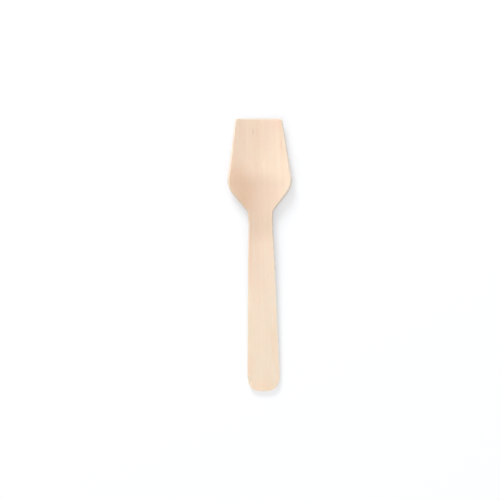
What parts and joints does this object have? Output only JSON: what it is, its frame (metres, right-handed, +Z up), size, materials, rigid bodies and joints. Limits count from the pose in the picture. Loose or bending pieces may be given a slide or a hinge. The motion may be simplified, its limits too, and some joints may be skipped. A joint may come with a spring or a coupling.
{
  "type": "small wooden dessert spoon",
  "caption": "Small flat-handled spoon pressed from one sheet of birch veneer, with a shallow bowl, a straight-cut tip, angular shoulders and a round-ended handle.",
  "frame": {"origin": "on the table under the middle of the spoon's length and width, as the spoon lies on its bowl and the end of its handle", "axes": "+Y along the spoon to the straight-cut tip, +X to the right when the tip points away, +Z up, out of the open side of the bowl"},
  "size_m": [0.0226, 0.096, 0.0043],
  "materials": {
    "birch_veneer": "bare birch veneer, smooth and faintly satin from the hot press"
  },
  "bodies": {
    "root": {"spoon": "birch_veneer"}
  },
  "joints": []
}
